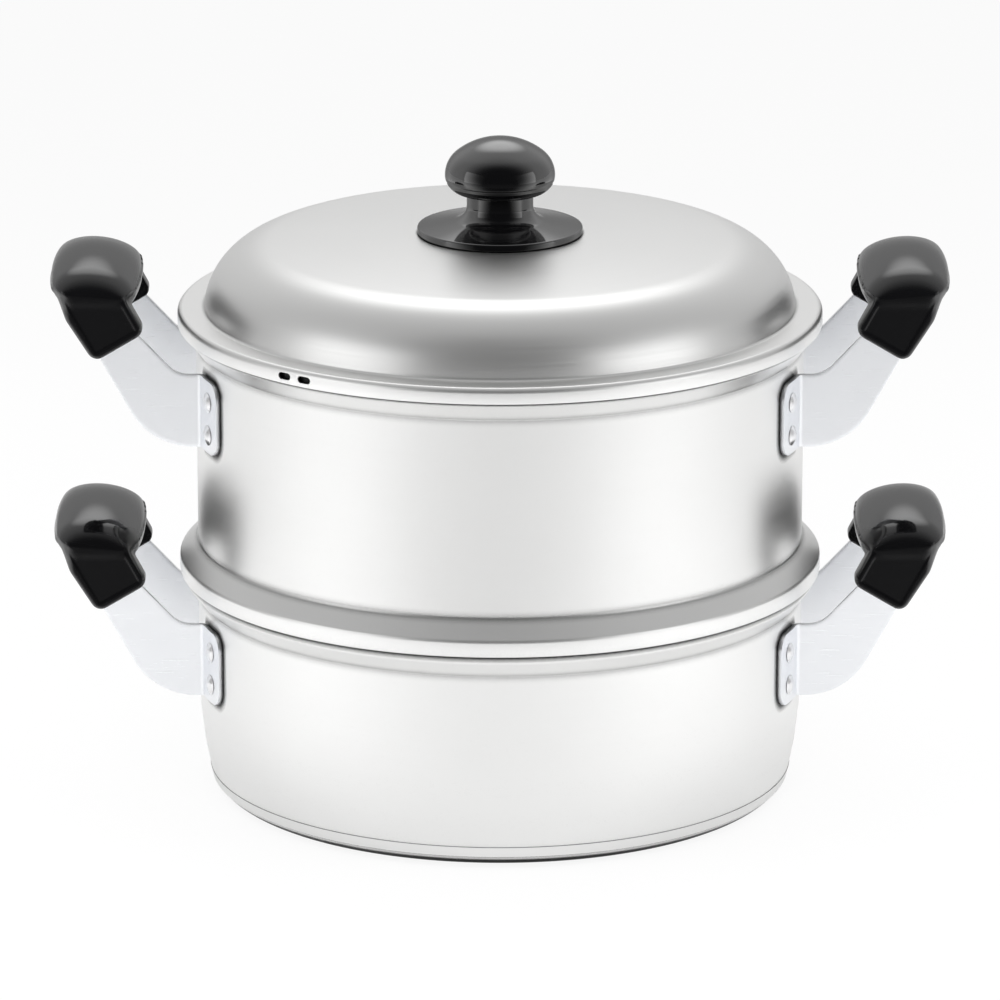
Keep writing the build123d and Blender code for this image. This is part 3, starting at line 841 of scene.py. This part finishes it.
# Arms: outer face, knee, half widths above and below the middle line, and run in the grip
ARM_Y = 36.0 * MM
LEAN = radians(60)
KNEE = Vector((161.0 * MM, 12.2 * MM))
KNEE_HIGH = 8.4 * MM
KNEE_LOW = 11.3 * MM
WEB_HALF = 7.0 * MM
WEB_RUN = 21 * MM
WEB_TURN_R = 5.0 * MM
WEB_STEPS = 8


def lean_point(run, across=0.0):
    """A point (x, height) of the grip's leaning frame, from the strap's knee."""
    along = Vector((cos(LEAN), sin(LEAN)))
    side = Vector((-sin(LEAN), cos(LEAN)))
    return KNEE + along * run + side * across


def spaced(path, count):
    """Points at equal steps along a path."""
    lengths = [0.0]
    for a, b in zip(path, path[1:]):
        lengths.append(lengths[-1] + (b - a).length)
    points = []
    segment = 0
    for index in range(count):
        want = lengths[-1] * index / (count - 1)
        while segment < len(path) - 2 and lengths[segment + 1] < want:
            segment += 1
        span = lengths[segment + 1] - lengths[segment]
        share = (want - lengths[segment]) / span if span else 0.0
        points.append(path[segment].lerp(path[segment + 1], share))
    return points


def tab_edges(face_r, crook):
    """Pairs of points along a tab, from its end to just before the crook."""
    straight = (TAB_END - crook) * face_r - CROOK_REACH - TAB_CORNER_R
    reaches = [TAB_CORNER_R * (1 - cos(pi / 2 * k / 9)) for k in range(10)]
    reaches += [TAB_CORNER_R + straight * k / 15 for k in range(1, 16)]
    pairs = []
    for reach in reaches:
        turn = TAB_END - reach / face_r
        left = max(0.0, TAB_CORNER_R - reach)
        inset = TAB_CORNER_R - sqrt(TAB_CORNER_R ** 2 - left ** 2)
        x, y = face_r * cos(turn), face_r * sin(turn)
        pairs.append((Vector((x, y, -inset)), Vector((x, y, -TAB_H + inset))))
    return pairs


def arm_edges(start_x):
    """Pairs of points along an arm, from the crook to the strap's knee."""
    steps = 28
    top = bent_path([
        (start_x, 0, 0), (138.4 * MM, 0, 12 * MM), (*lean_point(0, KNEE_HIGH), 0)])
    low = bent_path([
        (start_x, -TAB_H, 0), (149.5 * MM, -TAB_H, 30 * MM), (*lean_point(0, -KNEE_LOW), 0)])
    return [(Vector((a.x, ARM_Y, a.y)), Vector((b.x, ARM_Y, b.y)))
            for a, b in list(zip(spaced(top, steps), spaced(low, steps)))[1:]]


def web_edges():
    """Pairs of points inside the grip, from the knee round to the middle of the web."""
    shares = [k / WEB_STEPS for k in range(1, WEB_STEPS + 1)]
    arm_run = WEB_RUN - WEB_TURN_R
    web_y = ARM_Y - WEB_TURN_R
    stops = []
    for share in shares:
        narrowed = min(1.0, arm_run * share / (WEB_RUN / 2))
        stops.append((arm_run * share, KNEE_HIGH + (WEB_HALF - KNEE_HIGH) * narrowed,
                      KNEE_LOW + (WEB_HALF - KNEE_LOW) * narrowed, ARM_Y))
    for share in shares:
        turn = pi / 2 * share
        stops.append((arm_run + WEB_TURN_R * sin(turn), WEB_HALF, WEB_HALF,
                      web_y + WEB_TURN_R * cos(turn)))
    stops += [(WEB_RUN, WEB_HALF, WEB_HALF, web_y * (1 - share)) for share in shares]
    return [lean_pair(*stop) for stop in stops]


def strap_edges(s):
    """Pairs of points down one half of the strap, from its tab's end to the middle of its web."""
    face_r = s.vessel_r + WALL_FIT + STRAP_T
    crook_x = sqrt(face_r ** 2 - ARM_Y ** 2)
    crook = atan2(ARM_Y, crook_x)
    turn = crook + CROOK_REACH / face_r
    before = Vector((face_r * cos(turn), face_r * sin(turn)))
    rounding = bend(before, (crook_x, ARM_Y), (crook_x + 30 * MM, ARM_Y), CROOK_R)
    corner = [(Vector((*point, 0)), Vector((*point, -TAB_H))) for point in rounding]
    return tab_edges(face_r, crook) + corner + arm_edges(rounding[-1].x) + web_edges()


def lean_pair(run, high, low, y):
    """Both edges of the strap inside the grip, above and below its middle line."""
    a = lean_point(run, high)
    b = lean_point(run, -low)
    return Vector((a.x, y, a.y)), Vector((b.x, y, b.y))


def strap_mesh(s):
    """The whole strap as one bent strip with softened edges."""
    half = strap_edges(s)
    other = [tuple(Vector((p.x, -p.y, p.z)) for p in pair) for pair in half[:-1]]
    pairs = half + other[::-1]
    inner = inner_pairs(pairs)
    shares = (0, 0.05, 0.3, 0.7, 0.95, 1)  # across the strip, closer near its edges
    rings = []
    for (a, b), (c, d) in zip(pairs, inner):
        face = [a.lerp(b, share) for share in shares]
        back = [d.lerp(c, share) for share in shares]
        rings.append(face + back)
    piece = skinned_object("strap", rings)
    add_modifier(piece, "BEVEL", width=0.4 * MM, segments=3, limit_method="ANGLE",
                 angle_limit=radians(50))
    apply_modifiers(piece)
    return taken_mesh(piece)


def inner_pairs(pairs):
    """The strap's inner face: every pair moved one thickness across the strip."""
    middles = [(a + b) / 2 for a, b in pairs]
    moved = []
    for index, (a, b) in enumerate(pairs):
        across = (a - b).normalized()
        before = middles[index] - middles[max(index - 1, 0)]
        after = middles[min(index + 1, len(pairs) - 1)] - middles[index]
        normals = [run.cross(across).normalized() for run in (before, after) if run.length > 0]
        normal = sum(normals, Vector()).normalized()
        reach = STRAP_T / max(normal.dot(normals[0]), 0.7)
        moved.append((a + normal * reach, b + normal * reach))
    return moved


RIVET_TURN = radians(20.4)
RIVET_DROPS = (-9.6 * MM, -24.0 * MM)


def rivet_profile(grip):
    """A rivet's section: a low domed head outside, a flat tail inside, and its grip between."""
    head_r = 4.4 * MM
    rise = 1.5 * MM
    tail_r = 4.0 * MM
    shank_r = 2.4 * MM
    steps = 10
    dome_r = (head_r ** 2 + rise ** 2) / (2 * rise)
    profile = [Vector((0, -0.6 * MM)), Vector((tail_r - 0.6 * MM, -0.6 * MM)),
               Vector((tail_r, -0.3 * MM)), Vector((tail_r, 0)), Vector((shank_r, 0)),
               Vector((shank_r, grip)), Vector((head_r - 0.2 * MM, grip)),
               Vector((head_r, grip + 0.15 * MM))]
    lean = asin(head_r / dome_r)
    for k in range(1, steps + 1):
        turn = lean * (1 - k / steps)
        profile.append(Vector((dome_r * sin(turn), grip + rise + dome_r * (cos(turn) - 1))))
    return profile


def rivets_mesh(s):
    """Four rivets standing out of the wall, as one mesh."""
    profile = rivet_profile(s.sheet + WALL_FIT + STRAP_T)
    one = turned_mesh("rivet", profile, steps=48, sharp_deg=40)
    four = bmesh.new()
    for sign in (-1, 1):
        for height in RIVET_DROPS:
            before = len(four.verts)
            four.from_mesh(one)
            four.verts.ensure_lookup_table()
            fresh = four.verts[before:]
            place = (Matrix.Rotation(sign * RIVET_TURN, 4, "Z")
                     @ Matrix.Translation((s.vessel_r - s.sheet, 0, height))
                     @ Matrix.Rotation(pi / 2, 4, "Y"))
            bmesh.ops.transform(four, matrix=place, verts=fresh)
    return finish_mesh(four, "rivets", 40)


def handle_places(s):
    """Vessel, side and place of each of the four handles."""
    for vessel, crease_z in (("pan", s.pan_crease_z), ("tier", s.tier_crease_z)):
        lift = Matrix.Translation((0, 0, crease_z - TAB_DROP))
        for side, turn in SIDES:
            yield vessel, side, lift @ Matrix.Rotation(turn, 4, "Z")


def place_copies(mesh, part, suffix, material):
    """Set one copy of a mesh at each handle, in place of the node it stands for."""
    for vessel, side, place in handle_places(sizes()):
        node = f"{vessel}_{side}_{part}"
        copy = mesh.copy()
        copy.transform(place)
        dress(mesh_object(f"{node}_{suffix}", copy), node, material)


class Brackets(bpy.types.Operator):
    """Bend the four handle straps."""
    bl_idname = "steamer.brackets"
    bl_label = "Brackets"

    def execute(self, context):
        place_copies(strap_mesh(sizes()), "bracket", "strap", rolled_strip())
        return {"FINISHED"}


class Rivets(bpy.types.Operator):
    """Set four rivets in each handle."""
    bl_idname = "steamer.rivets"
    bl_label = "Rivets"

    def execute(self, context):
        bright = small_metal("Rivet Aluminium", (0.86, 0.86, 0.87), 0.24)
        place_copies(rivets_mesh(sizes()), "rivets", "set", bright)
        return {"FINISHED"}


# Grips

GRIP_HALF = 40.0 * MM
BAR_MID_X = 173.6 * MM
BAR_MID_Z = 35.8 * MM
BAR_HALF_W = 19.4 * MM
BAR_RISE = 12.0 * MM
BAR_DROP = 11.6 * MM
BAR_TILT = 0.087
END_R = 13.0 * MM
END_STOP = radians(86)

# Legs: corners as (x, height, bend radius), and layers as (depth, how far the edge draws in)
LEG_CORNERS = (
    (191.0 * MM, 37.0 * MM, 0), (187.2 * MM, 26.8 * MM, 30.0 * MM),
    (173.6 * MM, 5.8 * MM, 4.5 * MM), (151.4 * MM, 19.0 * MM, 4.0 * MM),
    (159.4 * MM, 34.0 * MM, 0))
LEG_LAYERS = ((10.0 * MM, 0), (7.0 * MM, 0), (4.5 * MM, 0), (2.6 * MM, 0), (1.1 * MM, 0.03),
              (0.2 * MM, 0.09), (0, 0.14))
SHOULDER_Z = (22.0 * MM, 34.0 * MM)
SHOULDER_INSET = 6.6 * MM

# Sunk panels: corners in mm, depth, slope inside the border, and fade-out towards the bar
PANEL_CORNERS = ((189.6, 34.0), (173.8, 6.0), (151.4, 19.0), (159.4, 34.0))
PANEL_SUNK = 0.5 * MM
PANEL_BORDER = (2.6 * MM, 3.3 * MM)
PANEL_FADE = (29.0 * MM, 34.0 * MM)

# Parting rim: middle, height, and where it fades out across, along and up the bar
RIM_MID_X = 173.4 * MM
RIM_H = 0.5 * MM
RIM_ACROSS = (12 * MM, 15 * MM)
RIM_ALONG = (28 * MM, 34 * MM)
RIM_LEVEL = (0.5 * MM, 1.1 * MM)


def bar_ring(shrink, y, count=96):
    """One cross-section of the barrelled hand bar, high above its widest line."""
    fullness = 1 - 0.15 * (y / GRIP_HALF) ** 2
    crown = 1 - 0.5 * (y / GRIP_HALF) ** 2
    half_w = (BAR_HALF_W - shrink * 0.5) * fullness
    rise = BAR_RISE * crown - shrink * 0.55
    drop = (BAR_DROP - shrink * 0.6) * fullness
    ring = []
    for k in range(count):
        turn = 2 * pi * k / count
        height = (rise if sin(turn) > 0 else drop) * sin(turn)
        out = half_w * cos(turn)
        ring.append(Vector((BAR_MID_X + out, y, BAR_MID_Z + height + BAR_TILT * out)))
    return ring


def leg_rings(sign):
    """Rings of points through one leg, from its inner face to its outer one."""
    outline = bent_path(LEG_CORNERS)
    middle = sum(outline, Vector((0, 0))) / len(outline)
    rings = []
    for depth, shrink in LEG_LAYERS:
        shoulder = shoulder_inset(depth)
        ring = []
        for point in outline:
            x, z = point.lerp(middle, shrink)
            if x > middle.x:
                x -= shoulder * smooth_step(z, *SHOULDER_Z)
            ring.append(Vector((x, sign * (GRIP_HALF - depth), z)))
        rings.append(ring)
    return rings


def bar_rings():
    """Cross-sections of the whole bar, rounded off at both ends."""
    straight = GRIP_HALF - END_R
    turns = [END_STOP * (1 - k / 12) for k in range(13)]
    ends = [(END_R * (1 - cos(turn)), straight + END_R * sin(turn)) for turn in turns]
    rings = [bar_ring(shrink, -y) for shrink, y in ends]
    rings += [bar_ring(0, straight * (k / 16 - 1)) for k in range(1, 32)]
    return rings + [bar_ring(shrink, y) for shrink, y in ends[::-1]]


def shoulder_inset(depth):
    """How far a leg's upper outer corner is drawn in, so that it stays inside the bar's end."""
    across = min(1.0, max(0.0, (END_R - depth) / END_R))
    return SHOULDER_INSET * (1 - sqrt(1 - across ** 2))


def smooth_step(value, low, high):
    """0 below low, 1 above high and a smooth rise between."""
    share = min(1.0, max(0.0, (value - low) / (high - low)))
    return share * share * (3 - 2 * share)


def sink_panels(mesh):
    """Sink a shallow panel in each leg's outer face, inside a rounded border."""
    corners = [Vector(corner) for corner in PANEL_CORNERS]
    sides = []
    for a, b in zip(corners, corners[1:]):
        along = (b - a).normalized()
        sides.append((a * MM, Vector((along.y, -along.x))))
    for vert in mesh.vertices:
        depth = GRIP_HALF - abs(vert.co.y)
        if depth > 1.2 * MM:
            continue
        place = Vector((vert.co.x, vert.co.z))
        inset = min((place - start).dot(normal) for start, normal in sides)
        share = smooth_step(inset, *PANEL_BORDER) * (1 - smooth_step(vert.co.z, *PANEL_FADE))
        vert.co.y -= PANEL_SUNK * share * (1 if vert.co.y > 0 else -1)


def raise_rim(mesh):
    """Raise the thin parting rim round the bar where its two halves meet."""
    for vert in mesh.vertices:
        level = abs(vert.co.z - BAR_MID_Z)
        along = abs(vert.co.y)
        if level > RIM_LEVEL[1] or abs(vert.normal.z) > 0.6 or along > RIM_ALONG[1]:
            continue
        share = ((1 - smooth_step(level, *RIM_LEVEL)) * (1 - smooth_step(along, *RIM_ALONG))
                 * smooth_step(abs(vert.co.x - RIM_MID_X), *RIM_ACROSS))
        vert.co += Vector((vert.normal.x, vert.normal.y, 0)).normalized() * RIM_H * share


def grip_mesh():
    """The moulded grip: bar and two legs blended into one body."""
    piece = skinned_object("grip", bar_rings(), leg_rings(-1), leg_rings(1))
    add_modifier(piece, "REMESH", mode="VOXEL", adaptivity=0,
                 voxel_size=0.6 * MM)
    add_modifier(piece, "SMOOTH", factor=0.5, iterations=12)
    apply_modifiers(piece)
    sink_panels(piece.data)
    raise_rim(piece.data)
    return taken_mesh(piece)


class Grips(bpy.types.Operator):
    """Mould the four grips and finish their screws."""
    bl_idname = "steamer.grips"
    bl_label = "Grips"

    def execute(self, context):
        place_copies(grip_mesh(), "grip", "moulded", black_phenolic("Grip Phenolic", 0.75, 1.8))
        for vessel, side, _ in handle_places(sizes()):
            keep_node(f"{vessel}_{side}_grip_screw", plated_steel())
        return {"FINISHED"}


# Stage

FLOOR_HALF = 6.0

# World, as (place, level) stops of how nearly a direction is the one named
FRONT_LEVELS = ((0.45, 0.62), (0.96, 0.22))
BACK_LEVELS = ((0.4, 0.0), (0.95, 0.22))
GLOW_LEVELS = ((0.92, 0.0), (0.997, 1.0))
GLOW_STRENGTH = 1.5

# Lamps: the softboxes' names, sides and radiance, and the floor washes' x, y and radiance
SOFTBOXES = (("left_box", -1.30, 0.8), ("right_box", 1.30, 0.85))
FLOOR_WASHES = ((0.44, -0.30, 4.6), (0.55, 0.40, 3.0))
WASH_Z = 0.5

# Floor: its glow to the camera, and how much of that is held back from the pot's mirror image
FLOOR_GLOW = 0.9
FLOOR_HELD_BACK = 0.7

CAMERA_LENS_MM = 279.6
CAMERA_LIFT = radians(16.24)
CAMERA_REACH = 3.375
CAMERA_TARGET = (0, 0, 0.1261)


def aimed(name, data, place, target):
    """Link a lamp or camera that looks from a place at a target."""
    holder = bpy.data.objects.new(name, data)
    holder.location = place
    holder.rotation_mode = "QUATERNION"
    holder.rotation_quaternion = (Vector(target) - Vector(place)).to_track_quat("-Z", "Y")
    bpy.context.scene.collection.objects.link(holder)
    return holder


def softbox(name, place, target, size, radiance, mirrored=True):
    """An area lamp of one brightness, aimed at a point, seen or not by shiny surfaces."""
    lamp = bpy.data.lights.new(name, "AREA")
    lamp.shape = "RECTANGLE"
    lamp.size, lamp.size_y = size
    lamp.energy = radiance * pi * size[0] * size[1]
    aimed(name, lamp, place, target).visible_glossy = mirrored


def toward(tree, direction, azimuth_deg, lift_deg):
    """How nearly the world's direction is the one asked for: 1 along it, 0 square to it."""
    turn, lift = radians(azimuth_deg), radians(lift_deg)
    node = add_node(tree, "ShaderNodeVectorMath", operation="DOT_PRODUCT")
    link(tree, direction, node.inputs[0])
    node.inputs[1].default_value = (sin(turn) * cos(lift), -cos(turn) * cos(lift), sin(lift))
    return node.outputs["Value"]


def room_light():
    """The world: white to the camera, and to the pot a pale room with a dim side in front."""
    world = bpy.data.worlds.new("Studio")
    bpy.context.scene.world = world
    world.use_nodes = True
    tree = world.node_tree
    tree.nodes.clear()
    out = add_node(tree, "ShaderNodeOutputWorld")
    path = add_node(tree, "ShaderNodeLightPath")
    direction = add_node(tree, "ShaderNodeTexCoord").outputs["Generated"]
    dim = ramp(tree, toward(tree, direction, 0, 20), FRONT_LEVELS)
    back = ramp(tree, toward(tree, direction, 180, 30), BACK_LEVELS)
    glow = ramp(tree, toward(tree, direction, 180, 48), GLOW_LEVELS)
    strong = maths(tree, "MULTIPLY", glow, GLOW_STRENGTH)
    level = maths(tree, "ADD", dim, maths(tree, "ADD", back, strong))
    room = add_node(tree, "ShaderNodeBackground")
    link(tree, level, room.inputs["Strength"])
    white = add_node(tree, "ShaderNodeBackground", {"Strength": 1.0, "Color": (1, 1, 1, 1)})
    seen = add_node(tree, "ShaderNodeMixShader")
    link(tree, path.outputs["Is Camera Ray"], seen.inputs["Fac"])
    link(tree, room.outputs[0], seen.inputs[1])
    link(tree, white.outputs[0], seen.inputs[2])
    link(tree, seen.outputs[0], out.inputs["Surface"])


def pale_floor():
    """A pale floor that stays white to the camera and keeps the pot's shadow."""
    plane = bmesh.new()
    plane.faces.new([plane.verts.new((x * FLOOR_HALF, y * FLOOR_HALF, 0))
                     for x, y in ((-1, -1), (1, -1), (1, 1), (-1, 1))])
    floor = mesh_object("floor", closed_edit(plane, "floor"))
    material, tree, shader = new_material("Pale Floor", {
        "Base Color": (*colours().floor, 1), "Roughness": 0.9})
    glow = add_node(tree, "ShaderNodeEmission", {"Color": (1, 1, 1, 1), "Strength": 1.0})
    path = add_node(tree, "ShaderNodeLightPath")
    blend = add_node(tree, "ShaderNodeMixShader")
    shown = maths(tree, "MAXIMUM", path.outputs["Is Camera Ray"], path.outputs["Is Glossy Ray"])
    held_back = maths(tree, "MULTIPLY", path.outputs["Is Glossy Ray"], FLOOR_HELD_BACK)
    factor = maths(tree, "SUBTRACT", maths(tree, "MULTIPLY", shown, FLOOR_GLOW), held_back)
    link(tree, factor, blend.inputs["Fac"])
    link(tree, shader.outputs[0], blend.inputs[1])
    link(tree, glow.outputs[0], blend.inputs[2])
    link(tree, blend.outputs[0], tree.nodes["Material Output"].inputs["Surface"])
    floor.data.materials.append(material)


def aim_camera():
    """A long lens at the photograph's angle."""
    lens = bpy.data.cameras.new("camera")
    lens.sensor_width = 36
    lens.lens = CAMERA_LENS_MM
    lens.clip_end = 30
    lens.dof.use_dof = False
    back = Vector((0, -cos(CAMERA_LIFT), sin(CAMERA_LIFT)))
    place = Vector(CAMERA_TARGET) + back * CAMERA_REACH
    bpy.context.scene.camera = aimed("camera", lens, place, CAMERA_TARGET)


class Stage(bpy.types.Operator):
    """Set up the floor, the lamps, the room and the camera."""
    bl_idname = "steamer.stage"
    bl_label = "Stage"

    def execute(self, context):
        pale_floor()
        room_light()
        for name, x, radiance in SOFTBOXES:
            softbox(name, (x, -0.80, 0.55), (0, 0, 0.2), (1.2, 1.0), radiance)
        for x, y, radiance in FLOOR_WASHES:
            for side in (-x, x):
                softbox("floor_wash", (side, y, WASH_Z), (side, y, 0), (0.4, 0.4), radiance,
                        mirrored=False)
        aim_camera()
        bpy.context.scene.view_settings.view_transform = "Standard"
        return {"FINISHED"}


class SteamerPanel(bpy.types.Panel):
    """Lists the pot's pieces in the 3D view's sidebar."""
    bl_idname = "STEAMER_PT_pieces"
    bl_label = "Steamer Pot"
    bl_space_type = "VIEW_3D"
    bl_region_type = "UI"
    bl_category = "Steamer"

    def draw(self, context):
        scene = context.scene
        for group in (scene.steamer_sizes, scene.steamer_colours):
            for name in group.__annotations__:
                self.layout.prop(group, name)
        for maker in MAKERS:
            self.layout.operator(maker.bl_idname)


MAKERS = (PanShell, TierShell, SteamPlate, LidShell, Knob, Brackets, Rivets, Grips, Stage)
CLASSES = (SheetSizes, FinishColours, *MAKERS, SteamerPanel)


def register():
    for cls in CLASSES:
        bpy.utils.register_class(cls)
    bpy.types.Scene.steamer_sizes = PointerProperty(type=SheetSizes)
    bpy.types.Scene.steamer_colours = PointerProperty(type=FinishColours)


def unregister():
    del bpy.types.Scene.steamer_colours
    del bpy.types.Scene.steamer_sizes
    for cls in reversed(CLASSES):
        bpy.utils.unregister_class(cls)


def main():
    """Make every piece and the stage."""
    register()
    for maker in MAKERS:
        family, name = maker.bl_idname.split(".")
        getattr(getattr(bpy.ops, family), name)()


if __name__ == "__main__":
    main()
